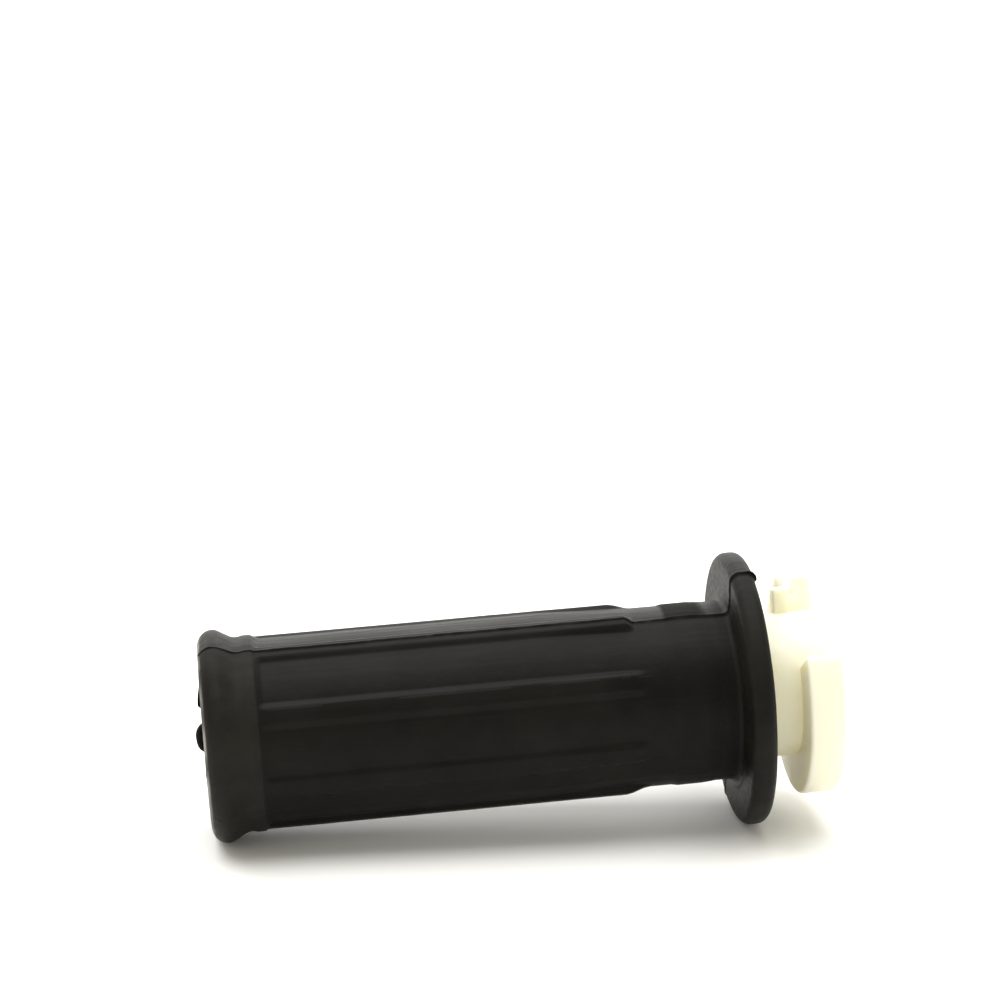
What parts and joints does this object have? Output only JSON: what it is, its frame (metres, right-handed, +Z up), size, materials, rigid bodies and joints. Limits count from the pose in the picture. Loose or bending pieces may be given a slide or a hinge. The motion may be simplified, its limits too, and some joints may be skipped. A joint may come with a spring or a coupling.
{
  "type": "throttle grip",
  "caption": "Moped throttle grip: ribbed rubber sleeve with a closed bulb end and a round flange, pushed onto a nylon throttle tube with a cable drum.",
  "frame": {"origin": "on the handlebar axis, in the plane of the cable drum's outer face, where the handlebar enters", "axes": "+X along the handlebar axis and out of the open end, so the closed end lies at -X; +Z up, as the grip lies in the picture; -Y towards the viewer"},
  "size_m": [0.1125, 0.0488, 0.0488],
  "materials": {
    "rubber": "matte moulded black rubber, faintly dusty",
    "nylon": "satin, slightly translucent natural nylon"
  },
  "bodies": {
    "root": {"rubber_grip": "rubber", "throttle_tube": "nylon"}
  },
  "joints": []
}
